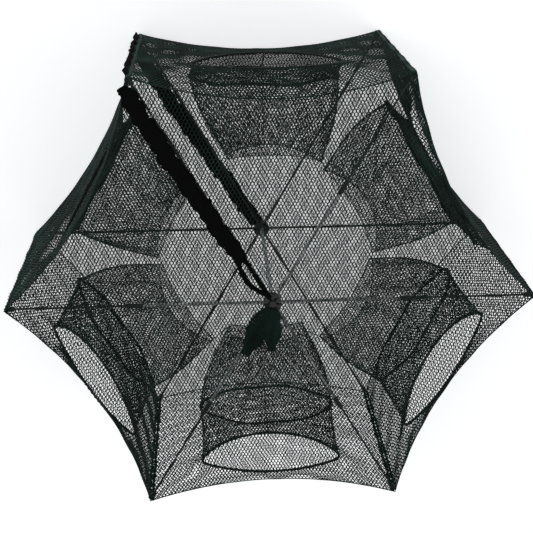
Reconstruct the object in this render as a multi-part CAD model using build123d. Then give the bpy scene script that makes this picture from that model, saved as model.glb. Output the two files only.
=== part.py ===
from build123d import *
import math
import os

# Folding crab trap, in millimetres, +Z up.
# The origin is on the pole's axis, at the surface the trap stands on.
# Rib 1 points along +X and the others follow anticlockwise every 60 degrees.
# Entrance 1 is half way between ribs 1 and 2.

# Driving dimensions of the whole trap
SIDES = 6
REACH = 400.0              # pole axis to a corner of the net
HEIGHT = 330.0             # underside of the bottom net to the top of the top net
NET_THICK = 1.2            # knotless netting
GAP = 0.5                  # space left between soft pieces that are sewn together
CUT_OVER = 1.0             # how far a cutting solid runs past the face that it cuts
TOP_SAG = 34.0             # how far the top rim curves in at the middle of a side
BOTTOM_SAG = 28.0
WALL_SAG = 18.4            # the wall at the height of the entrance, held out by its ring
WALL_WIDEST = 220.0        # height at which the wall curves in least
APOTHEM = REACH * math.cos(math.pi / SIDES)
HALF_SIDE = REACH * math.sin(math.pi / SIDES)

# Hubs, hinge wires and pole
HUB_R = 13.5
HUB_HIGH = 14.0
HUB_CROWN = 4.0            # height of the crown round the pole
HUB_CROWN_R = 5.2
HUB_EDGE_R = 1.5
CROWN_EDGE_R = 1.5
CROWN_ROOT = 1.0           # how far the crown is sunk into the hub
CROWN_CLEAR = 0.5          # the upper slots stop short of the crown
PIVOT_R = 8.5              # pole axis to a rib's hinge
PIVOT_UP = 7.0             # hub's underside to the hinge
WIRE_R = 1.0
WIRE_GROOVE_R = 1.05
SLOT_WIDE = 3.4            # slot for a rib's eye
SLOT_FLOOR = 2.0
SLOT_INNER_R = 5.0
POLE_R = 3.2
POLE_FIT = 0.05
POLE_SEAT = 2.0            # thickness of hub left beyond each end of the pole
POLE_CHAMFER = 0.4

# Ribs
EYE_THICK = 2.6
EYE_R = 2.5
EYE_HOLE_R = 1.08
EYE_REACH = 21.5           # where the flat eye meets the round rib
TUBE_R = 2.5
TUBE_BORE_R = 1.65
TUBE_BORE_START = 28.0
EYE_JOIN = 1.0             # how far a rib runs into its eye
TUBE_END = 206.0
ROD_R = 1.6
ROD_IN = 192.0             # start of the outer rod inside the tube
ROD_END = 394.0
FERRULE_R = 3.5
FERRULE_LONG = 24.0
FERRULE_MID = 206.0
FERRULE_EDGE_R = 0.6
RIVET_AT = 200.0
RIVET_R = 1.2
RIVET_LONG = 9.0
RIVET_HEAD_R = 2.0
RIVET_HEAD_THICK = 0.9
BOTTOM_ROD_R = 2.0
CAP_R = 4.0
CAP_START = 386.0
CAP_END = 398.0
CAP_BORE_END = 395.0
FIT = 0.05

# Entrances
RING_WIRE_R = 2.0
MOUTH_AT = 328.0           # pole axis to the plane of the outer ring
MOUTH_UP = 240.0           # height of its two pointed ends
MOUTH_HALF_WIDE = 115.0
MOUTH_RISE = 40.0          # from the ends up to the top of the ring
MOUTH_DROP = 78.0          # from the ends down to the bottom of the ring
MOUTH_END_R = 14.0
THROAT_AT = 298.0
THROAT_UP = 116.0
THROAT_HALF_WIDE = 118.0
THROAT_HALF_HIGH = 65.0
THROAT_END_R = 36.0
SLIT_AT = 165.0            # inner end of the funnel
SLIT_UP = 150.0
SLIT_HALF_WIDE = 90.0
SLIT_HALF_HIGH = 7.0
SLIT_END_R = 5.0
FUNNEL_INSET = 0.4
THROAT_INSET = 10.0        # the netting slants steeply through the inner ring
TIE_R = 0.8
TIE_GAP = 0.6              # from the end of a tie to the netting that it holds

# Corner bindings and the closure
BINDING_WIDE = 8.0
BINDING_THICK = 2.0
BINDING_FACE_R = 397.0
WALL_INSET = 8.5           # wall netting stops this far from the corner line
NET_HOLE_R = 16.0
CLOSURE_CORNER = 2         # the corner at 120 degrees, counted from 0
TAPE_WIDE = 24.0
TAPE_THICK = 1.4
TAPE_LAYER_GAP = 0.3
TAPE_START = 23.0
TAPE_END = 372.0
TAPE_LIFT = 0.3            # from the net to the tape
TOP_TAPE_OFFSET = 9.5      # centre of the tape, to the side of its rib
BOTTOM_TAPE_OFFSET = 12.5
TAPE_EDGE_THICK = 1.1
TAPE_EDGE_GAP = 0.2

TOP_HUB_Z = HEIGHT - HUB_HIGH
TOP_PIVOT_Z = TOP_HUB_Z + PIVOT_UP
BOTTOM_PIVOT_Z = PIVOT_UP
STEP_ANGLE = 360.0 / SIDES


def box(low, high):
    """A box between two corners."""
    size = [b - a for a, b in zip(low, high)]
    middle = [(a + b) / 2 for a, b in zip(low, high)]
    return Pos(*middle) * Box(*size)


def bar_x(radius, start, end, z=0.0):
    """A round bar along +X."""
    length = end - start
    return Pos((start + end) / 2, 0, z) * Rot(0, 90, 0) * Cylinder(radius, length)


def bar_y(radius, length, x=0.0, z=0.0):
    """A round bar along Y, centred on Y = 0."""
    return Pos(x, 0, z) * Rot(90, 0, 0) * Cylinder(radius, length)


def rod_between(start, end, radius):
    """A round bar from one point to another."""
    along = Vector(*end) - Vector(*start)
    face = Plane(origin=start, z_dir=along) * Circle(radius)
    return extrude(face, along.length)


def turned(shape, index, offset=0.0):
    """A copy of shape turned to rib or entrance number index."""
    return Rot(0, 0, offset + index * STEP_ANGLE) * shape


def hinge_wire(radius, z):
    """A bent wire with one straight run through each rib's eye."""
    corner_r = PIVOT_R / math.cos(math.pi / SIDES)
    run = 2 * corner_r * math.sin(math.pi / SIDES)
    wire = None
    for i in range(SIDES):
        side = bar_y(radius, run, PIVOT_R, z)
        corner = Rot(0, 0, STEP_ANGLE / 2) * Pos(corner_r, 0, z) * Sphere(radius)
        piece = turned(side + corner, i)
        wire = piece if wire is None else wire + piece
    return wire


def hub_body(base_z, slot_inner_r):
    """A moulded hub with six slots for the ribs and a groove for the hinge wire."""
    body = Pos(0, 0, base_z + HUB_HIGH / 2) * Cylinder(HUB_R, HUB_HIGH)
    body = fillet(body.edges().filter_by(GeomType.CIRCLE), HUB_EDGE_R)
    for i in range(SIDES):
        slot = box(
            (slot_inner_r, -SLOT_WIDE / 2, base_z + SLOT_FLOOR),
            (HUB_R + CUT_OVER, SLOT_WIDE / 2, base_z + HUB_HIGH + CUT_OVER),
        )
        body = body - turned(slot, i)
    return body - hinge_wire(WIRE_GROOVE_R, base_z + PIVOT_UP)


def pole_bore(low, high):
    """The bore that the pole sits in, from one height to another."""
    return Pos(0, 0, (low + high) / 2) * Cylinder(POLE_R + POLE_FIT, high - low)


def bottom_hub():
    """The lower hub, open at the top for the pole."""
    return hub_body(0.0, SLOT_INNER_R) - pole_bore(POLE_SEAT, HUB_HIGH + CUT_OVER)


def top_hub():
    """The upper hub, with a crown that closes over the pole's end."""
    crown_z = HEIGHT + (HUB_CROWN - CROWN_ROOT) / 2
    crown = Pos(0, 0, crown_z) * Cylinder(HUB_CROWN_R, HUB_CROWN + CROWN_ROOT)
    crown = fillet(crown.edges().group_by(Axis.Z)[-1], CROWN_EDGE_R)
    body = hub_body(TOP_HUB_Z, SLOT_INNER_R + CROWN_CLEAR) + crown
    return body - pole_bore(TOP_HUB_Z - CUT_OVER, HEIGHT - POLE_SEAT)


def pole():
    """The pole, seated in both hubs."""
    low = POLE_SEAT
    high = HEIGHT - POLE_SEAT
    rod = Pos(0, 0, (low + high) / 2) * Cylinder(POLE_R, high - low)
    return chamfer(rod.edges().filter_by(GeomType.CIRCLE), POLE_CHAMFER)


def eye(z):
    """The flattened hinge eye at a rib's inner end."""
    disc = bar_y(EYE_R, EYE_THICK, PIVOT_R, z)
    tongue = box(
        (PIVOT_R, -EYE_THICK / 2, z - EYE_R),
        (EYE_REACH, EYE_THICK / 2, z + EYE_R),
    )
    return disc + tongue - bar_y(EYE_HOLE_R, EYE_THICK + 2 * CUT_OVER, PIVOT_R, z)


def rivet_hole(z):
    """The cross hole that a rivet passes through."""
    return bar_y(RIVET_R + FIT, RIVET_LONG + 2 * CUT_OVER, RIVET_AT, z)


def top_rib():
    """The tubular inner half of an upper rib."""
    z = TOP_PIVOT_Z
    tube = bar_x(TUBE_R, EYE_REACH - EYE_JOIN, TUBE_END, z)
    tube = tube - bar_x(TUBE_BORE_R, TUBE_BORE_START, TUBE_END + CUT_OVER, z)
    return tube + eye(z) - rivet_hole(z)


def end_cap(rod_r, z):
    """The moulded cap on a rib's outer end."""
    nose = CAP_END - CAP_R
    cap = bar_x(CAP_R, CAP_START, nose, z) + Pos(nose, 0, z) * Sphere(CAP_R)
    return cap - bar_x(rod_r + FIT, CAP_START - CUT_OVER, CAP_BORE_END, z)


def top_rib_tip():
    """The outer rod of an upper rib, and its cap."""
    z = TOP_PIVOT_Z
    rod = bar_x(ROD_R, ROD_IN, ROD_END, z) - rivet_hole(z)
    return Compound(children=[rod, end_cap(ROD_R, z)])


def ferrule():
    """The crimped sleeve over the rib's joint, and the rivet through it."""
    z = TOP_PIVOT_Z
    start = FERRULE_MID - FERRULE_LONG / 2
    end = FERRULE_MID + FERRULE_LONG / 2
    sleeve = bar_x(FERRULE_R, start, end, z)
    sleeve = fillet(sleeve.edges().filter_by(GeomType.CIRCLE), FERRULE_EDGE_R)
    sleeve = sleeve - bar_x(TUBE_R + FIT, start - CUT_OVER, TUBE_END + FIT, z)
    sleeve = sleeve - bar_x(ROD_R + FIT, start, end + CUT_OVER, z) - rivet_hole(z)
    rivet = bar_y(RIVET_R, RIVET_LONG, RIVET_AT, z)
    for side in (-1, 1):
        middle = side * (RIVET_LONG - RIVET_HEAD_THICK) / 2
        head = Cylinder(RIVET_HEAD_R, RIVET_HEAD_THICK)
        rivet = rivet + Pos(RIVET_AT, middle, z) * Rot(90, 0, 0) * head
    return Compound(children=[sleeve, rivet])


def bottom_rib():
    """A one-piece lower rib, and its cap."""
    z = BOTTOM_PIVOT_Z
    rod = bar_x(BOTTOM_ROD_R, EYE_REACH - EYE_JOIN, ROD_END, z) + eye(z)
    return Compound(children=[rod, end_cap(BOTTOM_ROD_R, z)])


def rim_outline(inset, sag):
    """The six-sided outline of a net, with each side curving in by sag."""
    edges = []
    for i in range(SIDES):
        a = math.radians(i * STEP_ANGLE)
        b = math.radians((i + 1) * STEP_ANGLE)
        m = (a + b) / 2
        reach = REACH - inset
        depth = APOTHEM - inset - sag
        start = (reach * math.cos(a), reach * math.sin(a))
        middle = (depth * math.cos(m), depth * math.sin(m))
        end = (reach * math.cos(b), reach * math.sin(b))
        edges.append(ThreePointArc(start, middle, end))
    return make_face(edges)


def flat_net(base_z, sag):
    """A flat six-sided net with a hole for the hub."""
    face = rim_outline(0.0, sag) - Circle(NET_HOLE_R)
    return Pos(0, 0, base_z) * extrude(face, NET_THICK)


def wall_section(z, sag):
    """A thin curved strip: the wall netting cut at one height."""
    half = HALF_SIDE - WALL_INSET
    end_x = APOTHEM - sag * (1 - (half / HALF_SIDE) ** 2)
    mid_x = APOTHEM - sag
    outer = ThreePointArc((end_x, -half), (mid_x, 0), (end_x, half))
    inner = ThreePointArc(
        (end_x - NET_THICK, half), (mid_x - NET_THICK, 0), (end_x - NET_THICK, -half)
    )
    ends = [
        Line((end_x, half), (end_x - NET_THICK, half)),
        Line((end_x - NET_THICK, -half), (end_x, -half)),
    ]
    return Pos(0, 0, z) * make_face([outer, ends[0], inner, ends[1]])


def ring_line(half_wide, rise, drop, end_r):
    """A closed line of four tangent arcs, level with its two ends at Y = 0."""
    c = half_wide - end_r

    def flat_arc(high):
        """Radius of the arc over a given height, how far its centre is beyond, and its turn."""
        radius = (c * c + high**2 - end_r**2) / (2 * (high - end_r))
        beyond = radius - high
        return radius, beyond, math.degrees(math.atan2(beyond, c))

    up_r, up_beyond, up_turn = flat_arc(rise)
    down_r, down_beyond, down_turn = flat_arc(drop)
    arcs = [
        CenterArc((c, 0), end_r, -down_turn, down_turn + up_turn),
        CenterArc((0, -up_beyond), up_r, up_turn, 180 - 2 * up_turn),
        CenterArc((-c, 0), end_r, 180 - up_turn, up_turn + down_turn),
        CenterArc((0, down_beyond), down_r, 180 + down_turn, 180 - 2 * down_turn),
    ]
    return Wire(arcs)


def mouth_line(grow):
    """The outer ring's line, moved outwards by grow."""
    return ring_line(
        MOUTH_HALF_WIDE + grow, MOUTH_RISE + grow, MOUTH_DROP + grow, MOUTH_END_R + grow
    )


def throat_line(grow):
    """The inner ring's line, moved outwards by grow."""
    half_high = THROAT_HALF_HIGH + grow
    return ring_line(THROAT_HALF_WIDE + grow, half_high, half_high, THROAT_END_R + grow)


def slit_line(grow):
    """The outline of the funnel's inner end, moved outwards by grow."""
    half_high = SLIT_HALF_HIGH + grow
    return ring_line(SLIT_HALF_WIDE + grow, half_high, half_high, SLIT_END_R + grow)


def side_plane(x, z):
    """A vertical plane across an entrance, looking outwards."""
    return Plane(origin=(x, 0, z), x_dir=(0, 1, 0), z_dir=(1, 0, 0))


def side_net():
    """One wall of netting with the hole for its entrance."""
    low = NET_THICK + GAP
    high = HEIGHT - NET_THICK - GAP
    wall = loft(
        [
            wall_section(low, BOTTOM_SAG),
            wall_section(WALL_WIDEST, WALL_SAG),
            wall_section(high, TOP_SAG),
        ]
    )
    hole = make_face(mouth_line(RING_WIRE_R + GAP))
    cutter = side_plane(MOUTH_AT - WALL_SAG, MOUTH_UP) * extrude(hole, 2 * WALL_SAG)
    return wall - cutter


def ring(x, z, line):
    """A ring of spring wire that holds an entrance open."""
    path = side_plane(x, z) * line
    profile = Plane(origin=path @ 0, z_dir=path % 0) * Circle(RING_WIRE_R)
    return sweep(profile, path=path)


def entrance_rings():
    """The outer and inner ring of one entrance."""
    mouth = ring(MOUTH_AT, MOUTH_UP, mouth_line(0.0))
    throat = ring(THROAT_AT, THROAT_UP, throat_line(0.0))
    return Compound(children=[mouth, throat])


def funnel_skin(shrink):
    """The solid inside one skin of the funnel, smaller by shrink all round."""
    inset = RING_WIRE_R + FUNNEL_INSET
    start = side_plane(MOUTH_AT - inset, MOUTH_UP) * make_face(mouth_line(-inset - shrink))
    middle = side_plane(THROAT_AT, THROAT_UP) * make_face(throat_line(-THROAT_INSET - shrink))
    end = side_plane(SLIT_AT, SLIT_UP) * make_face(slit_line(-shrink))
    return loft([start, middle], ruled=True) + loft([middle, end], ruled=True)


def corner_tie():
    """The cord from a funnel's inner corner to the corner of the next funnel."""
    half_step = math.radians(STEP_ANGLE / 2)
    apart = SLIT_AT * math.sin(half_step) - SLIT_HALF_WIDE * math.cos(half_step)
    across = (-math.sin(half_step), math.cos(half_step))
    near = TIE_GAP
    far = 2 * apart - TIE_GAP
    ends = [
        (SLIT_AT + across[0] * d, SLIT_HALF_WIDE + across[1] * d, SLIT_UP)
        for d in (near, far)
    ]
    return rod_between(ends[0], ends[1], TIE_R)


def funnel(tied):
    """One entrance's netting funnel and, where there is one, its corner tie."""
    skin = funnel_skin(0.0) - funnel_skin(NET_THICK)
    pieces = list(skin.solids())
    if tied:
        pieces.append(corner_tie())
    return Compound(children=pieces)


def corner_binding(face_r):
    """The doubled strip sewn down one corner, between the two caps."""
    low = BOTTOM_PIVOT_Z + CAP_R + GAP
    high = TOP_PIVOT_Z - CAP_R - GAP
    return box(
        (face_r - BINDING_THICK, -BINDING_WIDE / 2, low),
        (face_r, BINDING_WIDE / 2, high),
    )


def closure_tape(net_z, offset):
    """Two fastened layers of tape lying on a net, beside a rib."""
    layers = []
    for i in range(2):
        low = net_z + TAPE_LIFT + i * (TAPE_THICK + TAPE_LAYER_GAP)
        layers.append(
            box(
                (TAPE_START, offset - TAPE_WIDE / 2, low),
                (TAPE_END, offset + TAPE_WIDE / 2, low + TAPE_THICK),
            )
        )
    return Compound(children=layers)


def closure_edge():
    """The closure tape that runs down the corner between the two nets."""
    low = BOTTOM_PIVOT_Z + CAP_R + GAP
    high = TOP_PIVOT_Z - CAP_R - GAP
    layers = []
    for i in range(2):
        face = BINDING_FACE_R - i * (TAPE_EDGE_THICK + TAPE_EDGE_GAP)
        layers.append(
            box(
                (face - TAPE_EDGE_THICK, -BINDING_WIDE / 2, low),
                (face, BINDING_WIDE / 2, high),
            )
        )
    return Compound(children=layers)


def save(shape, name):
    """Writes one sub-part to its own file."""
    export_step(shape, os.path.join("parts", name + ".step"))


def main():
    os.makedirs("parts", exist_ok=True)
    save(bottom_hub(), "bottom_hub")
    save(top_hub(), "top_hub")
    save(hinge_wire(WIRE_R, BOTTOM_PIVOT_Z), "bottom_hinge_wire")
    save(hinge_wire(WIRE_R, TOP_PIVOT_Z), "top_hinge_wire")
    save(pole(), "centre_pole")
    save(flat_net(0.0, BOTTOM_SAG), "bottom_net")
    save(flat_net(HEIGHT - NET_THICK, TOP_SAG), "top_net")

    at_ribs = {
        "top_rib": top_rib(),
        "top_rib_tip": top_rib_tip(),
        "top_ferrule": ferrule(),
        "bottom_rib": bottom_rib(),
        "corner_binding": corner_binding(BINDING_FACE_R),
    }
    at_sides = {
        "side_net": side_net(),
        "entrance_rings": entrance_rings(),
        "funnel": funnel(True),
    }
    for i in range(SIDES):
        for name, shape in at_ribs.items():
            save(turned(shape, i), f"{name}_{i + 1}")
        for name, shape in at_sides.items():
            save(turned(shape, i, STEP_ANGLE / 2), f"{name}_{i + 1}")

    corner = CLOSURE_CORNER
    behind_tape = BINDING_FACE_R - 2 * (TAPE_EDGE_THICK + TAPE_EDGE_GAP)
    save(turned(corner_binding(behind_tape), corner), f"corner_binding_{corner + 1}")
    save(turned(closure_tape(HEIGHT, TOP_TAPE_OFFSET), corner), "closure_tape_top")
    save(turned(closure_tape(NET_THICK, BOTTOM_TAPE_OFFSET), corner), "closure_tape_bottom")
    save(turned(closure_edge(), corner), "closure_tape_corner")
    save(turned(funnel(False), corner - 1, STEP_ANGLE / 2), f"funnel_{corner}")


main()
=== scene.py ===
import math

import bpy
import numpy as np
from mathutils import Matrix, Vector


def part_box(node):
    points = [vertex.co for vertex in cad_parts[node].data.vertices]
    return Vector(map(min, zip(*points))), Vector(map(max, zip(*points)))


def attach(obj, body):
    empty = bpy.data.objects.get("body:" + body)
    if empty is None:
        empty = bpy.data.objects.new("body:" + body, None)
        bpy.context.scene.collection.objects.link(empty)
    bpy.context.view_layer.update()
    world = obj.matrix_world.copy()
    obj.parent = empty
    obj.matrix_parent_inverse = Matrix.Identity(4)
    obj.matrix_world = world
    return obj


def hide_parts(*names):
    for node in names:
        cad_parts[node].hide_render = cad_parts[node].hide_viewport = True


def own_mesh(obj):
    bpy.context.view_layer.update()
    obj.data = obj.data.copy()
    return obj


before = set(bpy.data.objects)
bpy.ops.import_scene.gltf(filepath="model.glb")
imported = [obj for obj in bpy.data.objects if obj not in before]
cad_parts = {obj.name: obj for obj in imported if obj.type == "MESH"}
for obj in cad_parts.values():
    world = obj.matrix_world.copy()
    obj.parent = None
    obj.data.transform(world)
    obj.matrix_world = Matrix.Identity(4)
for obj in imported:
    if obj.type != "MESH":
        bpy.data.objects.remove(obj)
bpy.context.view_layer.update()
rng = np.random.default_rng(7)

SIDES = 6
STEP = 2 * math.pi / SIDES
CLOSURE_SIDE = 2                                 # the closure runs along this rib, counted from 0

# Lengths below are in metres. The entrances' outlines, which the frame's boxes don't hold:
WIRE = 0.002                                     # radius of the ring wire
MOUTH_RISE = 0.040
MOUTH_DROP = 0.078
MOUTH_END_R = 0.014
THROAT_HALF_HIGH = 0.065
THROAT_END_R = 0.036
SLIT_AT = 0.165                                  # distance of the funnel's inner end from the pole
SLIT_UP = 0.150
SLIT_HALF_WIDE = 0.090
SLIT_HALF_HIGH = 0.007
SLIT_END_R = 0.005
UPPER_LIP = 0.034                                # how far the lips of the inner end are scalloped
LOWER_LIP = 0.012

# Sizes from the frame
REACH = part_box("top_net")[1].x
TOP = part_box("top_net")[1].z
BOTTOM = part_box("bottom_net")[0].z
APOTHEM = REACH * math.cos(STEP / 2)
HALF_SIDE = REACH * math.sin(STEP / 2)
HUB_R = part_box("top_hub")[1].x
RING_LOW, RING_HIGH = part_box("entrance_rings_2")
MOUTH_AT = RING_HIGH.y - WIRE
THROAT_AT = RING_LOW.y + WIRE
MOUTH_UP = RING_HIGH.z - WIRE - MOUTH_RISE
THROAT_UP = RING_LOW.z + WIRE + THROAT_HALF_HIGH
THROAT_HALF_WIDE = RING_HIGH.x - WIRE
MOUTH_HALF_WIDE = THROAT_HALF_WIDE - 0.003       # the outer ring is a little narrower

# How the netting hangs
TOP_SAG = 0.034                                  # how far a rim curves in at mid side
BOTTOM_SAG = 0.028
WALL_SAG = 0.0184
WALL_WIDEST = 0.220                              # height where the walls stand furthest out
WALL_CURVE = 1.8                                 # power of the change to the rims' curve
NET_RIPPLE = 0.0006                              # height of the ripples in a net
WALL_RIPPLE = 0.0012
WALL_EDGE = 0.0008                               # the walls stop this short of the top and bottom
HUB_GAP = 0.001                                  # from a flat net to the hub
RING_GAP = 0.001                                 # from a wall to its outer ring
RING_PULL = 0.035                                # the wall is drawn to the outer ring within this
# How far each funnel's inner end is pulled out from the pole
SLIT_PULL = [-0.010, 0.0, -0.010, -0.014, -0.050, -0.014]
FUNNEL_BREAK = 0.42                              # share of the funnel's length outside its inner ring
FUNNEL_LONG = 0.26
FUNNEL_AROUND = 200                              # half cells round a funnel
FUNNEL_SLACK = 0.006
BESIDE_CLOSURE = 0.68                            # a slit's half beside the closure is narrower
# How far the netting pulls each entrance out from the pole, and up
ENTRY_PULL = [
    (-0.020, 0.0), (0.008, -0.040), (-0.014, 0.0),
    (-0.002, 0.016), (-0.012, 0.022), (-0.002, 0.016),
]

# Netting
CELL_WIDE = 0.00556
CELL_HIGH = 0.0107
JOINT = 0.0024                                   # length of a knotless joint
TWINE_R = 0.00068
JOINT_R = 0.00100
WALL_TWINE = 1.12                                # twine thickness against the flat nets
FUNNEL_TWINE = 0.80
FLAP_TWINE = 1.1
HEM_R = 0.0008
RING_POINTS = 120                                # round a ring or an inner hem
LASHING_R = 0.0006
LASHING_LIFT = 0.0005
LASHING_PITCH = 0.009
SEAM_DROP = (0, 0, 0.001)                        # a floor seam and a tie hang this far down
SEAM_R = [0.0011, 0.0010, 0.0004]                # of a floor seam: at the mouth, the inner ring and its end

# Bindings and closure
LEAF_WIDE = 0.0026                               # half width of one leaf of a corner binding
LEAF_THICK = 0.0016
LEAF_LEAN = math.radians(60)                     # lays each leaf along its wall
LEAF_OVERRUN = 0.008                             # past the binding's ends in the frame
LEAF_INSET = 0.002
LEAF_STANDOFF = 0.0012
TAPE_WIDE = 0.024
TAPE_THICK = 0.0015
TAPE_LAYER = 0.0019                              # height from one layer of the tape to the next
TAPE_START = 0.012
TAPE_END = 0.392
TOP_TAPE_OFFSET = 0.0095                         # centre of the tape, to the side of its rib
BOTTOM_TAPE_OFFSET = 0.0125
SPREAD_FROM = 0.09                               # the tape leans away from its rib from here
SPREAD_LONG = 0.19
PINCH_AT = 0.105                                 # nearer the hub than this, the upper tape is pinched
PINCH_LONG = 0.025
PINCHED = 0.0036                                 # its half width there
LOOP_LONG = 0.09
LOOP_WIDE = 0.015
LOOP_HIGH = 0.003
TIE_PLACES = (0.108, 0.222, 0.336)               # distances of the rib ties from the pole
TIE_R = 0.0007
STRIP_INSET = 0.012                              # from the corner strip's ends to the trap's
EYELET_R = 0.0032
EYELET_PLACES = (0.30, 0.52, 0.76)               # shares of the way up the corner strip
SCALLOP = 0.0028
SCALLOPS = 4.5                                   # along the corner strip
FLAP_LAYERS = 4
FLAP_LAYER = 0.0012                              # height from one layer of a flap to the next


# ---------------------------------------------------------------- materials

def principled(name, colour, rough, metal=0.0, level=0.5):
    """A material with a Principled shader, and that shader."""
    material = bpy.data.materials.new(name)
    material.use_nodes = True
    shader = material.node_tree.nodes["Principled BSDF"]
    shader.inputs["Base Color"].default_value = (*colour, 1)
    shader.inputs["Roughness"].default_value = rough
    shader.inputs["Metallic"].default_value = metal
    shader.inputs["Specular IOR Level"].default_value = level
    return material, shader


def node(material, kind, **values):
    """A new node with its inputs set by name."""
    made = material.node_tree.nodes.new(kind)
    for key, value in values.items():
        made.inputs[key.replace("_", " ")].default_value = value
    return made


def link(material, out, into):
    """Join two sockets."""
    material.node_tree.links.new(out, into)


def object_place(material):
    """The piece's own coordinates, in metres."""
    return node(material, "ShaderNodeTexCoord").outputs["Object"]


def two_tone(material, shader, factor, dark, light, low=0.35, high=0.65):
    """The base colour runs between two colours as factor goes from low to high."""
    ramp = material.node_tree.nodes.new("ShaderNodeValToRGB")
    ramp.color_ramp.elements[0].position = low
    ramp.color_ramp.elements[0].color = (*dark, 1)
    ramp.color_ramp.elements[1].position = high
    ramp.color_ramp.elements[1].color = (*light, 1)
    link(material, factor, ramp.inputs["Fac"])
    link(material, ramp.outputs["Color"], shader.inputs["Base Color"])


def roughness_range(material, shader, factor, low, high):
    """The roughness runs between two values with factor."""
    span = node(material, "ShaderNodeMapRange", To_Min=low, To_Max=high)
    link(material, factor, span.inputs["Value"])
    link(material, span.outputs["Result"], shader.inputs["Roughness"])


def bump(material, shader, factor, height, strength=0.6):
    """Fine relief of the given height, in metres."""
    made = node(material, "ShaderNodeBump", Strength=strength, Distance=height)
    link(material, factor, made.inputs["Height"])
    link(material, made.outputs["Normal"], shader.inputs["Normal"])


def noise(material, scale, detail=4.0):
    """Smooth noise in the piece's own coordinates, with about scale blotches a metre."""
    made = node(material, "ShaderNodeTexNoise", Scale=scale, Detail=detail)
    link(material, object_place(material), made.inputs["Vector"])
    return made.outputs["Fac"]


def twine_tones():
    """Four close shades of dark green twine: a leg of netting takes one of them."""
    shades = [
        (0.0035, 0.0110, 0.0085),
        (0.0055, 0.0165, 0.0130),
        (0.0080, 0.0240, 0.0190),
        (0.0130, 0.0380, 0.0300),
    ]
    return [
        principled(f"twine_{i + 1}", shade, 0.6, level=0.12)[0]
        for i, shade in enumerate(shades)
    ]


def cord_material(name, dark, light):
    """Twisted cord: oblique stripes with fuzz between them."""
    material, shader = principled(name, dark, 0.7, level=0.2)
    wave = node(material, "ShaderNodeTexWave", Scale=140.0, Distortion=3.0)
    wave.inputs["Detail Scale"].default_value = 2.0
    wave.bands_direction = "DIAGONAL"
    link(material, object_place(material), wave.inputs["Vector"])
    two_tone(material, shader, wave.outputs["Fac"], dark, light, low=0.2, high=0.9)
    bump(material, shader, wave.outputs["Fac"], height=0.0004)
    return material


def tape_material():
    """Near-black fastener tape with a napped face."""
    material, shader = principled("fastener_tape", (0.003, 0.003, 0.003), 0.95, level=0.06)
    grain = noise(material, scale=900.0, detail=6.0)
    two_tone(material, shader, grain, (0.0008, 0.0009, 0.0008), (0.0040, 0.0045, 0.0040))
    bump(material, shader, grain, height=0.0008, strength=0.9)
    return material


def binding_material():
    """Dark green doubled netting, pressed flat and stitched."""
    material, shader = principled("sewn_binding", (0.01, 0.03, 0.022), 0.75, level=0.15)
    cells = node(material, "ShaderNodeTexVoronoi", Scale=420.0)
    link(material, object_place(material), cells.inputs["Vector"])
    two_tone(
        material, shader, cells.outputs["Distance"],
        (0.003, 0.013, 0.0095), (0.012, 0.046, 0.034), low=0.1, high=0.7,
    )
    bump(material, shader, cells.outputs["Distance"], height=0.0007, strength=0.8)
    return material


def steel_material(name, dark, light, rough):
    """Galvanised or coated wire with faint drawing marks and worn patches."""
    material, shader = principled(name, light, rough, metal=0.7)
    patches = noise(material, scale=55.0, detail=6.0)
    two_tone(material, shader, patches, dark, light, low=0.35, high=0.7)
    roughness_range(material, shader, patches, low=rough + 0.15, high=rough - 0.05)
    scratches = noise(material, scale=700.0, detail=2.0)
    bump(material, shader, scratches, height=0.00015, strength=0.4)
    return material


def plastic_material(name, colour):
    """Moulded black plastic with a fine spark texture."""
    material, shader = principled(name, colour, 0.45)
    grain = noise(material, scale=1100.0, detail=3.0)
    light = tuple(c * 1.8 + 0.004 for c in colour)
    stains = noise(material, scale=90.0)
    two_tone(material, shader, stains, colour, light, low=0.4, high=0.75)
    roughness_range(material, shader, grain, low=0.38, high=0.6)
    bump(material, shader, grain, height=0.0002, strength=0.5)
    return material


TWINE = twine_tones()
HEM = cord_material("hem_cord", (0.003, 0.010, 0.0075), (0.009, 0.028, 0.021))
TAPE = tape_material()
BINDING = binding_material()
RIB = steel_material("coated_rib", (0.10, 0.105, 0.11), (0.60, 0.62, 0.63), 0.3)
ROD = steel_material("dark_rod", (0.008, 0.010, 0.010), (0.060, 0.065, 0.066), 0.4)
GALVANISED = steel_material("galvanised", (0.30, 0.33, 0.35), (0.62, 0.66, 0.69), 0.38)
POLE = plastic_material("pale_pole", (0.30, 0.34, 0.35))
RING = steel_material("ring_wire", (0.006, 0.010, 0.009), (0.02, 0.026, 0.024), 0.45)
PLASTIC = plastic_material("moulded_black", (0.010, 0.010, 0.010))
SLEEVE = plastic_material("black_sleeve", (0.006, 0.006, 0.006))
TIE = cord_material("pale_tie", (0.20, 0.24, 0.23), (0.50, 0.56, 0.55))


# ---------------------------------------------------------------- geometry helpers

def turn(points, angle):
    """Points turned about the pole's axis."""
    c, s = math.cos(angle), math.sin(angle)
    out = np.array(points, float)
    x, y = out[..., 0].copy(), out[..., 1].copy()
    out[..., 0] = c * x - s * y
    out[..., 1] = s * x + c * y
    return out


def across(angle):
    """The horizontal direction at right angles to a rib or entrance."""
    return (-math.sin(angle), math.cos(angle), 0.0)


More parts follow.
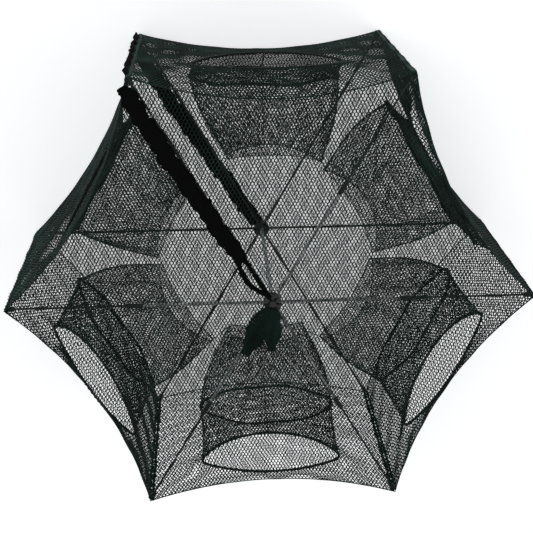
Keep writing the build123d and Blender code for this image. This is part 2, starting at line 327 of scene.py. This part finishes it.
def new_object(name, points, faces, materials, tones=None):
    """A mesh object from arrays: faces all have the same number of corners."""
    points = np.asarray(points, np.float32).reshape(-1, 3)
    faces = np.asarray(faces, np.int32)
    corners = faces.shape[1]
    mesh = bpy.data.meshes.new(name)
    mesh.vertices.add(len(points))
    mesh.vertices.foreach_set("co", points.ravel())
    mesh.loops.add(faces.size)
    mesh.loops.foreach_set("vertex_index", faces.ravel())
    mesh.polygons.add(len(faces))
    starts = np.arange(0, faces.size, corners, dtype=np.int32)
    mesh.polygons.foreach_set("loop_start", starts)
    for material in materials:
        mesh.materials.append(material)
    if tones is not None:
        mesh.polygons.foreach_set("material_index", np.asarray(tones, np.int32))
    mesh.update(calc_edges=True)
    mesh.polygons.foreach_set("use_smooth", np.full(len(faces), True))
    made = bpy.data.objects.new(name, mesh)
    bpy.context.scene.collection.objects.link(made)
    return made


def unit(v):
    """Vectors scaled to length 1."""
    return v / np.maximum(np.linalg.norm(v, axis=-1, keepdims=True), 1e-12)


def twine_object(name, starts, ends, normals, radii):
    """One object of three-sided legs of twine, from starts to ends."""
    along = unit(ends - starts)
    side = unit(np.cross(along, normals))
    up = np.cross(side, along)
    third = math.sqrt(3) / 2
    around = np.stack([up, third * side - 0.5 * up, -third * side - 0.5 * up], axis=1)
    around = around * radii[:, None, None]
    points = np.concatenate([starts[:, None] + around, ends[:, None] + around], axis=1)
    sides = np.array([[0, 1, 4, 3], [1, 2, 5, 4], [2, 0, 3, 5]])
    faces = (np.arange(len(starts)) * 6)[:, None, None] + sides
    # Patches about 0.1 m wide lean towards the lighter or darker shades, and each leg varies round that.
    patch = np.sin(starts[:, 0] * 61) + np.sin(starts[:, 1] * 53 + starts[:, 2] * 47)
    varied = np.floor(patch * 0.6 + rng.random(len(starts)) * 2 + 0.9)
    tone = np.clip(varied, 0, len(TWINE) - 1)
    tones = np.repeat(tone.astype(int), 3)
    return new_object(name, points, faces.reshape(-1, 4), TWINE, tones)


def mesh_legs(columns, rows, cell_wide=CELL_WIDE, cell_high=CELL_HIGH, joint=JOINT):
    """Legs of a knotless mesh on a grid of half cells: starts, ends and whether each is a joint."""
    i, j = np.meshgrid(np.arange(columns + 1), np.arange(rows + 1), indexing="ij")
    keep = (i + j) % 2 == 0
    i, j = i[keep].astype(float), j[keep].astype(float)
    u, v = i * cell_wide / 2, j * cell_high / 2
    q = joint / 2
    low = np.stack([u, v - q], axis=1)
    high = np.stack([u, v + q], axis=1)
    step_u, step_v = cell_wide / 2, cell_high / 2
    right = np.stack([u + step_u, v + step_v - q], axis=1)
    left = np.stack([u - step_u, v + step_v - q], axis=1)
    can_right = (i < columns) & (j < rows)
    can_left = (i > 0) & (j < rows)
    starts = np.concatenate([low, high[can_right], high[can_left]])
    ends = np.concatenate([high, right[can_right], left[can_left]])
    is_joint = np.arange(len(starts)) < len(low)
    return starts, ends, is_joint


def leg_radii(is_joint, scale=1.0):
    """The radius of each leg: joints are thicker than the twine between them."""
    return np.where(is_joint, JOINT_R, TWINE_R) * scale


def tube(name, path, radius, material, sides=8, closed=False):
    """A round cord or wire that follows a list of points."""
    path = np.asarray(path, float)
    count = len(path)
    if closed:
        ahead, behind = np.roll(path, -1, axis=0), np.roll(path, 1, axis=0)
    else:
        ahead = np.concatenate([path[1:], path[-1:]])
        behind = np.concatenate([path[:1], path[:-1]])
    along = unit(ahead - behind)
    hint = np.array([0.0, 0.0, 1.0])
    upright = abs(along @ hint).mean() > 0.9
    if upright:
        hint = np.array([1.0, 0.0, 0.0])
    side = unit(np.cross(along, hint))
    up = np.cross(side, along)
    radius = np.broadcast_to(np.asarray(radius, float), (count,))
    rings = []
    for k in range(sides):
        a = 2 * math.pi * k / sides
        rings.append(path + (up * math.cos(a) + side * math.sin(a)) * radius[:, None])
    points = np.stack(rings, axis=1)
    faces = []
    for i in range(count if closed else count - 1):
        n = (i + 1) % count
        for k in range(sides):
            m = (k + 1) % sides
            faces.append([i * sides + k, i * sides + m, n * sides + m, n * sides + k])
    return new_object(name, points, faces, [material])


def ribbon(name, centre, wide_dir, thick_dir, half_wide, thick, material, seed, rows=6):
    """A flat strip along centre, with ragged edges and a closed cross-section."""
    edge_spread, nap_spread = 0.0005, 0.00015
    middle_crown, edge_crown = 0.5, 0.28
    noise_maker = np.random.default_rng(seed)
    count = len(centre)
    half_wide = np.broadcast_to(np.asarray(half_wide, float), (count,))
    ragged = noise_maker.normal(0, edge_spread, (count, 2))
    lift = noise_maker.normal(0, nap_spread, (count, rows + 1))
    points = np.zeros((count, 2 * (rows + 1), 3))
    for r in range(rows + 1):
        s = 2 * r / rows - 1
        edge = ragged[:, 0] if s < 0 else ragged[:, 1]
        across_by = s * (half_wide + (edge if abs(s) == 1 else 0))
        base = centre + wide_dir * across_by[:, None]
        crown = thick * (middle_crown if abs(s) < 1 else edge_crown)
        points[:, r] = base + thick_dir * (crown + lift[:, r])[:, None]
        points[:, 2 * rows + 1 - r] = base - thick_dir * (crown - lift[:, r])[:, None]
    loop = 2 * (rows + 1)
    faces = []
    for i in range(count - 1):
        for k in range(loop):
            m = (k + 1) % loop
            a, b = i * loop, (i + 1) * loop
            faces.append([a + k, a + m, b + m, b + k])
    for i in (0, count - 1):
        for r in range(rows):
            a = i * loop
            quad = [a + r, a + r + 1, a + 2 * rows - r, a + 2 * rows + 1 - r]
            faces.append(quad if i else quad[::-1])
    return new_object(name, points, faces, [material])


# ---------------------------------------------------------------- shapes of the nets
#
# Ripples are sums of sines. Their wave numbers are per metre, and only have to differ from each other.

def rim_reach(angle, sag):
    """Distance from the pole to the curved rim of a flat net, in each direction."""
    off = (angle % STEP) - STEP / 2
    reach = np.full_like(off, APOTHEM - sag)
    passes = 12                                  # enough for the reach to settle
    for _ in range(passes):
        t = reach * np.tan(off)
        reach = APOTHEM - sag * (1 - (t / HALF_SIDE) ** 2)
    return reach / np.cos(off)


def strained(p):
    """Points of a net moved a little along it, as the pull of the ribs and seams does."""
    wander_x, wander_y, jitter = 0.0016, 0.0018, 0.0004
    x = p[:, 0] + wander_x * np.sin(p[:, 1] * 31 + p[:, 0] * 9) + jitter * np.sin(p[:, 1] * 170)
    y = p[:, 1] + wander_y * np.sin(p[:, 0] * 27 + 1.5) + jitter * np.sin(p[:, 0] * 150 + 2)
    return np.stack([x, y], axis=1)


def flat_net(prefix, body, base, sag, swell, hem_in=0.0005):
    """A top or bottom net, cut into one wedge for each rib, with a hem round its rim."""
    columns = 2 * math.ceil(REACH / CELL_WIDE)
    rows = 2 * math.ceil(APOTHEM / CELL_HIGH)
    starts, ends, is_joint = mesh_legs(2 * columns, 2 * rows)
    shift = np.array([columns * CELL_WIDE / 2, rows * CELL_HIGH / 2])
    starts, ends = strained(starts - shift), strained(ends - shift)

    def clip(p):
        angle = np.arctan2(p[:, 1], p[:, 0])
        reach = np.hypot(p[:, 0], p[:, 1])
        limit = rim_reach(angle, sag) - hem_in
        inner = HUB_R + HUB_GAP
        kept = np.clip(reach, inner, limit)
        inside = (reach <= limit) & (reach >= inner)
        return p * (kept / np.maximum(reach, 1e-9))[:, None], inside

    starts, in_a = clip(starts)
    ends, in_b = clip(ends)
    use = in_a | in_b
    starts, ends, is_joint = starts[use], ends[use], is_joint[use]

    def place(p):
        angle = np.arctan2(p[:, 1], p[:, 0])
        share = np.hypot(p[:, 0], p[:, 1]) / REACH
        between = (1 - np.cos(SIDES * angle)) / 2
        lift = swell * between * 4 * share * np.clip(1.05 - share, 0, 1)
        ripple = NET_RIPPLE * np.sin(p[:, 0] * 130 + 2) * np.sin(p[:, 1] * 110)
        z = base + lift + np.abs(ripple) * np.sign(swell)
        return np.stack([p[:, 0], p[:, 1], z], axis=1)

    starts, ends = place(starts), place(ends)
    middle = (starts + ends) / 2
    wedge = np.round(np.arctan2(middle[:, 1], middle[:, 0]) / STEP).astype(int) % SIDES
    normals = np.broadcast_to(np.array([0.0, 0.0, 1.0]), starts.shape)
    for k in range(SIDES):
        pick = wedge == k
        piece = twine_object(
            f"{prefix}_{k + 1}", starts[pick], ends[pick], normals[pick],
            leg_radii(is_joint[pick]),
        )
        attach(piece, f"{body}_{k + 1}")
        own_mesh(piece)
        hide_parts(prefix)
        angles = np.linspace((k - 0.5) * STEP, (k + 0.5) * STEP, 81)
        reach = rim_reach(angles, sag) - hem_in
        line = np.stack([reach * np.cos(angles), reach * np.sin(angles), angles * 0 + base], axis=1)
        hem = tube(f"{prefix}_hem_{k + 1}", line, HEM_R, HEM, sides=6)
        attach(hem, f"{body}_{k + 1}")
        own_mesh(hem)


def ring_line(half_wide, rise, drop, end_r, count=240):
    """A ring of four tangent arcs: half its points evenly along the upper part, half along the lower."""
    end_points, main_points = 40, 160
    c = half_wide - end_r
    halves = []
    for high, sign in ((rise, 1), (drop, -1)):
        radius = (c * c + high**2 - end_r**2) / (2 * (high - end_r))
        beyond = radius - high
        bend = math.atan2(beyond, c)
        end = np.linspace(0, bend, end_points)
        main = np.linspace(bend, math.pi - bend, main_points)[1:-1]
        right = np.stack([c + end_r * np.cos(end), end_r * np.sin(end)], axis=1)
        arch = np.stack([radius * np.cos(main), radius * np.sin(main) - beyond], axis=1)
        half = np.concatenate([right, arch, right[::-1] * (-1, 1)]) * (1, sign)
        half = half[::sign]
        along = np.linalg.norm(np.diff(half, axis=0), axis=1)
        place = np.concatenate([[0], np.cumsum(along)])
        even = np.linspace(0, place[-1], count // 2, endpoint=False)
        halves.append(np.stack([np.interp(even, place, half[:, i]) for i in range(2)], axis=1))
    return np.concatenate(halves)


MOUTH_LINE = ring_line(MOUTH_HALF_WIDE, MOUTH_RISE, MOUTH_DROP, MOUTH_END_R)
THROAT_LINE = ring_line(THROAT_HALF_WIDE, THROAT_HALF_HIGH, THROAT_HALF_HIGH, THROAT_END_R)
SLIT_LINE = ring_line(SLIT_HALF_WIDE, SLIT_HALF_HIGH, SLIT_HALF_HIGH, SLIT_END_R)
MOUTH_MID = (MOUTH_RISE - MOUTH_DROP) / 2


def on_line(line, turns):
    """Points at shares of the way round a ring."""
    closed = np.concatenate([line, line[:1]])
    place = np.linspace(0, 1, len(closed))
    return np.stack([np.interp(turns % 1, place, closed[:, i]) for i in range(2)], axis=-1)


def mouth_reach(angle):
    """Distance from the middle of the outer ring to its wire, in each direction."""
    dz = MOUTH_LINE[:, 1] - MOUTH_MID
    around = np.arctan2(dz, MOUTH_LINE[:, 0])
    order = np.argsort(around)
    reach = np.hypot(MOUTH_LINE[:, 0], dz)
    return np.interp(angle, around[order], reach[order], period=2 * math.pi)


def wall_depth(t, z, sag):
    """Distance out from the pole of the wall netting, at t along the side and height z."""
    below = np.clip((WALL_WIDEST - z) / WALL_WIDEST, 0, 1)
    above = np.clip((z - WALL_WIDEST) / (TOP - WALL_WIDEST), 0, 1)
    sag = sag + (BOTTOM_SAG - sag) * below**WALL_CURVE + (TOP_SAG - sag) * above**WALL_CURVE
    return APOTHEM - sag * (1 - (t / HALF_SIDE) ** 2)


def side_walls():
    """Six walls of netting, each in two halves that follow their own corner."""
    columns = 2 * math.ceil(HALF_SIDE / CELL_WIDE)
    rows = math.ceil((TOP - BOTTOM) / (CELL_HIGH / 2))
    for k in range(SIDES):
        out, up = ENTRY_PULL[k]
        mouth_at, middle = MOUTH_AT + out, MOUTH_UP + up + MOUTH_MID
        starts, ends, is_joint = mesh_legs(2 * columns, rows)
        shift = np.array([columns * CELL_WIDE / 2, 0])

        def clip(p):
            p = p - shift
            p[:, 0] = np.clip(p[:, 0], -HALF_SIDE, HALF_SIDE)
            p[:, 1] = np.clip(p[:, 1], BOTTOM + WALL_EDGE, TOP - WALL_EDGE)
            dz = p[:, 1] - middle
            reach = np.hypot(p[:, 0], dz)
            limit = mouth_reach(np.arctan2(dz, p[:, 0])) + RING_GAP
            outside = reach >= limit
            grow = np.where(outside, 1.0, limit / np.maximum(reach, 1e-6))
            kept = np.stack([p[:, 0] * grow, middle + dz * grow], axis=1)
            return kept, outside

        starts, in_a = clip(starts)
        ends, in_b = clip(ends)
        # Clipping may leave a leg with no length, or one that spans the hole.
        length = np.linalg.norm(ends - starts, axis=1)
        use = (in_a | in_b) & (length > 1e-5) & (length < 3 * CELL_WIDE)
        starts, ends, joints = starts[use], ends[use], is_joint[use]

        def place(p):
            depth = wall_depth(p[:, 0], p[:, 1], WALL_SAG - out)
            dz = p[:, 1] - middle
            reach = np.hypot(p[:, 0], dz)
            clear = reach - mouth_reach(np.arctan2(dz, p[:, 0]))
            pull = np.clip(1 - clear / RING_PULL, 0, 1) ** 2
            depth = depth * (1 - pull) + mouth_at * pull
            depth += WALL_RIPPLE * np.sin(p[:, 0] * 90 + k) * np.sin(p[:, 1] * 75)
            return np.stack([depth, p[:, 0], p[:, 1]], axis=1)

        starts, ends = place(starts), place(ends)
        normals = np.broadcast_to(np.array([1.0, 0.0, 0.0]), starts.shape)
        angle = (k + 0.5) * STEP
        t = (starts[:, 1] + ends[:, 1]) / 2
        halves = (("a", t < 0, k), ("b", t >= 0, (k + 1) % SIDES))
        for half, pick, corner in halves:
            piece = twine_object(
                f"side_net_{k + 1}_{half}", turn(starts[pick], angle), turn(ends[pick], angle),
                turn(normals[pick], angle), leg_radii(joints[pick], WALL_TWINE),
            )
            body = f"edge_{corner + 1}"
            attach(piece, body)
            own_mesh(piece)
            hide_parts(f"side_net_{k + 1}")


def funnel_point(k, turns, share):
    """A point of a funnel, by the share of the way round it and in from its mouth."""
    lip_spread, widened, waisted, rumple = 0.15, 0.10, 0.02, 0.002
    out, up = ENTRY_PULL[k]
    mouth, throat, slit = (on_line(line, turns) for line in (MOUTH_LINE, THROAT_LINE, SLIT_LINE))
    towards_closure = {CLOSURE_SIDE - 1: 1, CLOSURE_SIDE: -1}.get(k, 0)
    narrowed = np.where(slit[:, 0] * towards_closure > 0, BESIDE_CLOSURE, 1.0)
    slit_at = SLIT_AT + SLIT_PULL[k]
    narrowed = narrowed * slit_at / SLIT_AT
    slit = slit * np.stack([narrowed, np.ones_like(narrowed)], axis=1)
    upper = turns % 1 < 0.5
    lip = np.where(upper, UPPER_LIP, LOWER_LIP) * (1 - (slit[:, 0] / SLIT_HALF_WIDE) ** 2)
    lip = lip * (1 + lip_spread * math.sin(5 * k + 1))
    rings = [
        np.stack([mouth[:, 0] * 0 + MOUTH_AT + out, mouth[:, 0], MOUTH_UP + up + mouth[:, 1]], axis=1),
        np.stack([throat[:, 0] * 0 + THROAT_AT, throat[:, 0], THROAT_UP + throat[:, 1]], axis=1),
        np.stack([slit_at + lip, slit[:, 0], SLIT_UP + slit[:, 1]], axis=1),
    ]
    first = np.clip(share / FUNNEL_BREAK, 0, 1)[:, None]
    second = np.clip((share - FUNNEL_BREAK) / (1 - FUNNEL_BREAK), 0, 1)[:, None]
    point = (rings[0] * (1 - first) + rings[1] * first) * (1 - second) + rings[2] * second
    spread = widened * np.sin(np.pi * second[:, 0]) - waisted * np.sin(np.pi * first[:, 0])
    point[:, 1] *= 1 + spread
    slack = FUNNEL_SLACK * np.sin(np.pi * second[:, 0])
    point[:, 2] += slack * np.sin(2 * math.pi * (9 * turns + 0.3 * k)) - slack
    point[:, 0] += rumple * np.sin(2 * math.pi * 5 * turns + k) * np.sin(np.pi * share)
    return point


def ring_at(k, which):
    """The line of one entrance's outer (0) or inner (1) ring."""
    turns = np.arange(RING_POINTS) / RING_POINTS
    return funnel_point(k, turns, turns * 0 + which * FUNNEL_BREAK)


def funnels():
    """The netting funnel of each entrance, with its rings, lashings, floor seam, hem and corner tie."""
    floor, seam_end = 0.75, 0.78
    rows = math.ceil(FUNNEL_LONG / (CELL_HIGH / 2))
    for k in range(SIDES):
        angle = (k + 0.5) * STEP
        starts, ends, is_joint = mesh_legs(FUNNEL_AROUND, rows, 2.0, 2.0, 2 * JOINT / CELL_HIGH)
        # The last column is the first one again, so its joints are left out.
        once = (starts[:, 0] < FUNNEL_AROUND) | ~is_joint
        starts, ends, joints = starts[once], ends[once], is_joint[once]

        def place(p):
            share = np.clip(p[:, 1] / rows, 0, 1)
            return funnel_point(k, p[:, 0] / FUNNEL_AROUND, share)

        normal = place(starts + (1.0, 0.0)) - place(starts - (1.0, 0.0))
        down = place(starts + (0.0, 0.5)) - place(starts - (0.0, 0.5))
        normal = unit(np.cross(normal, down))
        piece = twine_object(
            f"funnel_net_{k + 1}", turn(place(starts), angle), turn(place(ends), angle),
            turn(normal, angle), leg_radii(joints, FUNNEL_TWINE),
        )
        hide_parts(f"funnel_{k + 1}")
        made = [piece]
        for which, label in enumerate(("mouth", "throat")):
            line = turn(ring_at(k, which), angle)
            wire = tube(f"{label}_ring_{k + 1}", line, WIRE, RING, closed=True)
            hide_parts(f"entrance_rings_{k + 1}")
            wound = lashing(line, WIRE + LASHING_LIFT)
            whip = tube(f"{label}_lashing_{k + 1}", wound, LASHING_R, HEM, sides=4)
            made += [wire, whip]
        turns = np.linspace(0, 1, RING_POINTS + 1)[:-1]
        lips = turn(funnel_point(k, turns, turns * 0 + 1), angle)
        made.append(tube(f"inner_hem_{k + 1}", lips, HEM_R, HEM, sides=5, closed=True))
        inwards = np.linspace(0, seam_end, 40)
        seam = turn(funnel_point(k, inwards * 0 + floor, inwards), angle) - SEAM_DROP
        thick = np.interp(inwards, [0, FUNNEL_BREAK, seam_end], SEAM_R)
        made.append(tube(f"floor_seam_{k + 1}", seam, thick, HEM, sides=6))
        if k != CLOSURE_SIDE - 1:
            near = turn(funnel_point(k, np.array([0.0]), np.array([1.0])), angle)[0]
            after = (k + 1) % SIDES
            far = turn(funnel_point(after, np.array([0.5]), np.array([1.0])), angle + STEP)[0]
            sag = (near + far) / 2 - SEAM_DROP
            made.append(tube(f"corner_tie_{k + 1}", [near, sag, far], HEM_R, HEM, sides=6))
        for item in made:
            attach(item, f"entry_{k + 1}")
            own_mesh(item)


def lashing(line, radius):
    """A thread wound round a closed wire."""
    points_a_turn = 7
    line = np.concatenate([line, line[:1]])
    along = np.linalg.norm(np.diff(line, axis=0), axis=1)
    place = np.concatenate([[0], np.cumsum(along)])
    count = int(place[-1] / LASHING_PITCH * points_a_turn)
    at = np.linspace(0, place[-1], count)
    centre = np.stack([np.interp(at, place, line[:, i]) for i in range(3)], axis=1)
    tangent = unit(np.gradient(centre, axis=0))
    side = unit(np.cross(tangent, np.array([0.0, 0.0, 1.0])))
    up = np.cross(side, tangent)
    a = at / LASHING_PITCH * 2 * math.pi
    return centre + radius * (np.cos(a)[:, None] * side + np.sin(a)[:, None] * up)


# ---------------------------------------------------------------- bindings and closure

def corner_bindings():
    """A doubled strip sewn down each corner, one leaf on each wall."""
    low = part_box("corner_binding_1")[0].z
    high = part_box("corner_binding_1")[1].z
    for k in range(SIDES):
        z = np.linspace(low - LEAF_OVERRUN, high + LEAF_OVERRUN, 90)
        for label, sign in (("a", -1), ("b", 1)):
            direction = np.array([-math.cos(LEAF_LEAN), sign * math.sin(LEAF_LEAN), 0.0])
            normal = np.array([math.sin(LEAF_LEAN), sign * math.cos(LEAF_LEAN), 0.0])
            width = LEAF_WIDE + 0.0003 * np.sin(z * 210 + k) + 0.0002 * np.sin(z * 77 + 2 * k)
            centre = np.stack([z * 0 + REACH - LEAF_INSET, z * 0, z], axis=1)
            centre = centre + direction * width[:, None] + normal * LEAF_STANDOFF
            centre, direction, normal = (turn(v, k * STEP) for v in (centre, direction, normal))
            strip = ribbon(
                f"binding_{k + 1}_{label}", centre, direction, normal, width, LEAF_THICK,
                BINDING, seed=40 + 2 * k + (sign > 0),
            )
            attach(strip, f"edge_{k + 1}")
            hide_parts(f"corner_binding_{k + 1}")


def closure():
    """The fastener tape along rib 3 and along the lower rib below it, in two layers each."""
    angle = CLOSURE_SIDE * STEP
    r = np.linspace(TAPE_START, TAPE_END, 170)
    wide_dir, up = np.array([0.0, 1.0, 0.0]), np.array([0.0, 0.0, 1.0])
    end_long, blunt = 0.03, 0.45                 # the outer end narrows to this share of the width
    for place, body, base, beside in (
        ("top", "top_rib_3", TOP + 0.0016, TOP_TAPE_OFFSET),
        ("bottom", "bottom_rib_3", BOTTOM + 0.0040, BOTTOM_TAPE_OFFSET),
    ):
        for layer in range(2):
            wave = 0.0013 * np.sin(r * 95 + layer * 1.3) + 0.0009 * np.sin(r * 260 + layer)
            width = TAPE_WIDE / 2 + 0.0008 * np.sin(r * 140 + 2 * layer) + 0.0005 * np.sin(r * 410)
            width = width * np.clip((TAPE_END - r) / end_long + blunt, blunt, 1)
            outwards = np.clip((r - SPREAD_FROM) / SPREAD_LONG, 0, 1)
            offset = beside * (0.45 + 0.85 * outwards) + wave
            height = base + layer * TAPE_LAYER + 0.0006 * np.sin(r * 120 + layer)
            if place == "top":
                # Near the hub the layers are pinched narrow and part to form a loop.
                pinch = np.clip((PINCH_AT - r) / PINCH_LONG, 0, 1)
                loop = np.sin(np.clip((PINCH_AT - r) / LOOP_LONG, 0, 1) * math.pi)
                width = width * (1 - pinch) + PINCHED * pinch
                offset = offset * (1 - pinch) + (layer * LOOP_WIDE * loop - 0.001) * pinch
                height = height + layer * LOOP_HIGH * loop
            else:
                offset = offset * np.clip(r / 0.05, 0.15, 1)
            centre = np.stack([r, offset, height], axis=1)
            strip = ribbon(
                f"closure_{place}_{layer + 1}", turn(centre, angle), turn(wide_dir, angle), up,
                width, TAPE_THICK, TAPE, seed=90 + layer,
            )
            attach(strip, body)
            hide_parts(f"closure_tape_{place}")
        for number, x in enumerate(TIE_PLACES):
            tie = rib_tie(f"rib_tie_{place}_{number + 1}", x, base, angle)
            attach(tie, body)


def rib_tie(name, x, base, angle):
    """A short pale cord looped round a rib and the tape on it."""
    a = np.linspace(0, 2 * math.pi, 25)[:-1]
    lean, beside, half_wide, half_high, below = 0.0008, 0.0015, 0.0042, 0.0062, 0.004
    sideways = beside + half_wide * np.cos(a)
    loop = np.stack([x + lean * np.sin(a), sideways, base - below + half_high * np.sin(a)], axis=1)
    return tube(name, turn(loop, angle), TIE_R, TIE, sides=6, closed=True)


def closure_corner():
    """The scalloped strip down the closure's corner, with its three eyelets."""
    angle = CLOSURE_SIDE * STEP
    columns, rows = 26, 240
    low, high = BOTTOM + STRIP_INSET, TOP - STRIP_INSET
    inner_edge, outer_edge = REACH - 0.006, REACH + 0.006
    points = np.zeros((rows + 1, columns + 1, 2))
    for i in range(rows + 1):
        z = low + (high - low) * i / rows
        scallop = SCALLOP * abs(math.sin((z - low) / (high - low) * math.pi * SCALLOPS)) ** 0.7
        for j in range(columns + 1):
            points[i, j] = (inner_edge + (outer_edge + scallop - inner_edge) * j / columns, z)
    hole_at = REACH + 0.0018
    long_holes = 0.45                            # the holes are this much narrower than they are high
    keep = np.ones((rows, columns), bool)
    for share in EYELET_PLACES:
        z = low + (high - low) * share
        d = np.hypot(points[..., 0] - hole_at, (points[..., 1] - z) * long_holes)
        inside = d < EYELET_R
        grow = np.where(inside, EYELET_R / np.maximum(d, 1e-5), 1.0)
        keep &= ~(inside[:-1, :-1] & inside[1:, :-1] & inside[:-1, 1:] & inside[1:, 1:])
        points[..., 0] = hole_at + (points[..., 0] - hole_at) * grow
        points[..., 1] = z + (points[..., 1] - z) * grow
    wave = 0.0016 * np.sin(points[..., 1] * 120)
    half_thick = 0.0011
    front = np.stack([points[..., 0], wave + half_thick, points[..., 1]], axis=2).reshape(-1, 3)
    back = np.stack([points[..., 0], wave - half_thick, points[..., 1]], axis=2).reshape(-1, 3)
    faces = both_faces(keep, len(front))
    used = sorted({q for face in faces for q in face})
    number = {q: n for n, q in enumerate(used)}
    faces = [[number[q] for q in face] for face in faces]
    both = np.concatenate([front, back])[used]
    strip = new_object("closure_corner_strip", turn(both, angle), faces, [TAPE])
    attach(strip, "edge_3")
    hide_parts("closure_tape_corner")


def both_faces(keep, count):
    """The front, back and edge faces of a thick grid of cells, of which some are left out."""
    rows, columns = keep.shape
    faces, uses = [], {}
    for i in range(rows):
        for j in range(columns):
            if not keep[i, j]:
                continue
            a = i * (columns + 1) + j
            quad = [a, a + 1, a + columns + 2, a + columns + 1]
            faces.append(quad[::-1])
            faces.append([q + count for q in quad])
            for p, q in zip(quad, quad[1:] + quad[:1]):
                uses[(p, q)] = True
    for p, q in uses:
        if (q, p) not in uses:
            faces.append([p, q, q + count, p + count])
    return faces


def hub_flaps():
    """Two folded flaps of spare netting that hang out at the top hub."""
    columns, rows = 8, 14
    for name, angle, length, wide, bent in (
        ("hub_flap_1", math.radians(268), 0.070, 0.026, 0.0),
        ("hub_flap_2", math.radians(236), 0.085, 0.034, 0.35),
    ):
        starts, ends, is_joint = mesh_legs(2 * columns, 2 * rows, 1.0, 1.0, 0.2)

        def place(p, layer):
            u = p[:, 0] / columns - 0.5
            v = np.clip(p[:, 1] / rows, 0, 1)
            taper = 0.35 + 0.65 * np.sin(np.clip(v * 1.15, 0, 1) * math.pi) ** 0.7
            x = HUB_R * 0.6 + v * length
            y = (u * wide * taper) + bent * v * 0.03 + 0.002 * np.sin(v * 9 + layer)
            z = TOP + 0.0015 + layer * FLAP_LAYER + 0.0010 * np.sin(u * 11 + v * 7 + layer)
            return np.stack([x, y, z], axis=1)

        near = np.concatenate([place(starts, layer) for layer in range(FLAP_LAYERS)])
        far = np.concatenate([place(ends, layer) for layer in range(FLAP_LAYERS)])
        normals = np.broadcast_to(np.array([0.0, 0.0, 1.0]), near.shape)
        radii = np.tile(leg_radii(is_joint, FLAP_TWINE), FLAP_LAYERS)
        flap = twine_object(name, turn(near, angle), turn(far, angle), normals, radii)
        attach(flap, "top_rib_5")
        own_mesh(flap)


# ---------------------------------------------------------------- CAD nodes that stay

def finish_cad_nodes():
    """A material for every CAD node that is shown as it is, and a steel face on each rivet."""
    rivet_from = 0.0036                          # rivets stand out further than this beside the rib
    for name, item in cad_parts.items():
        if name.startswith("top_ferrule"):
            material = SLEEVE
        elif name.startswith(("top_rib_tip", "bottom_rib")):
            material = ROD
        elif name.startswith("top_rib"):
            material = RIB
        elif name == "centre_pole":
            material = POLE
        elif name.endswith("hinge_wire"):
            material = GALVANISED
        else:
            material = PLASTIC
        for place in item.material_slots:
            place.material = material
        if name.startswith("top_ferrule"):
            angle = (int(name[-1]) - 1) * STEP
            item.data.materials.append(GALVANISED)
            for face in item.data.polygons:
                aside = (item.matrix_world @ face.center).dot(Vector(across(angle)))
                if abs(aside) > rivet_from:
                    face.material_index = len(item.data.materials) - 1


# ---------------------------------------------------------------- stage, light and camera

def stage():
    """A plain pale floor, an even white surround and two large soft lamps."""
    floor_material, shader = principled("floor", (0.84, 0.86, 0.88), 0.9)
    shader.inputs["Emission Color"].default_value = (1, 1, 1, 1)
    shader.inputs["Emission Strength"].default_value = 0.52
    floor_gap = 0.0005
    bpy.ops.mesh.primitive_plane_add(size=30, location=(0, 0, BOTTOM - floor_gap))
    floor = bpy.context.object
    floor.name = "floor"
    floor.data.materials.append(floor_material)

    world = bpy.data.worlds.new("studio")
    world.use_nodes = True
    world.node_tree.nodes["Background"].inputs["Color"].default_value = (1, 1, 1, 1)
    world.node_tree.nodes["Background"].inputs["Strength"].default_value = 0.42
    bpy.context.scene.world = world
    for place, size, power in (
        ((-1.6, 1.4, 2.6), 2.2, 26),
        ((1.8, -0.6, 2.2), 1.8, 14),
    ):
        lamp = bpy.data.lights.new("softbox", "AREA")
        lamp.size = size
        lamp.energy = power
        holder = bpy.data.objects.new("softbox", lamp)
        holder.location = place
        aim = Vector((0, 0, TOP / 2)) - Vector(place)
        holder.rotation_euler = aim.to_track_quat("-Z", "Y").to_euler()
        bpy.context.scene.collection.objects.link(holder)


def camera():
    """The camera looks down on the trap from its +Y side."""
    place = (-0.0873, 0.6534, 1.7405)
    forward = Vector((0.0509, -0.3868, -0.9208)).normalized()
    up = Vector((0.0271, 0.9222, -0.3859))
    sensor = 36
    focal_ratio = 1.944                          # focal length against the sensor's width
    data = bpy.data.cameras.new("camera")
    data.sensor_width = sensor
    data.lens = sensor * focal_ratio
    data.clip_end = 100
    item = bpy.data.objects.new("camera", data)
    right = forward.cross(up).normalized()
    up = right.cross(forward)
    rotation = Matrix((right, up, -forward)).transposed()
    item.matrix_world = Matrix.Translation(place) @ rotation.to_4x4()
    bpy.context.scene.collection.objects.link(item)
    bpy.context.scene.camera = item


bpy.context.scene.view_settings.view_transform = "Standard"
camera()
finish_cad_nodes()
flat_net("top_net", "top_rib", base=TOP - 0.0006, sag=TOP_SAG, swell=-0.005)
flat_net("bottom_net", "bottom_rib", base=BOTTOM + 0.0014, sag=BOTTOM_SAG, swell=0.003)
side_walls()
funnels()
corner_bindings()
closure()
closure_corner()
hub_flaps()
stage()
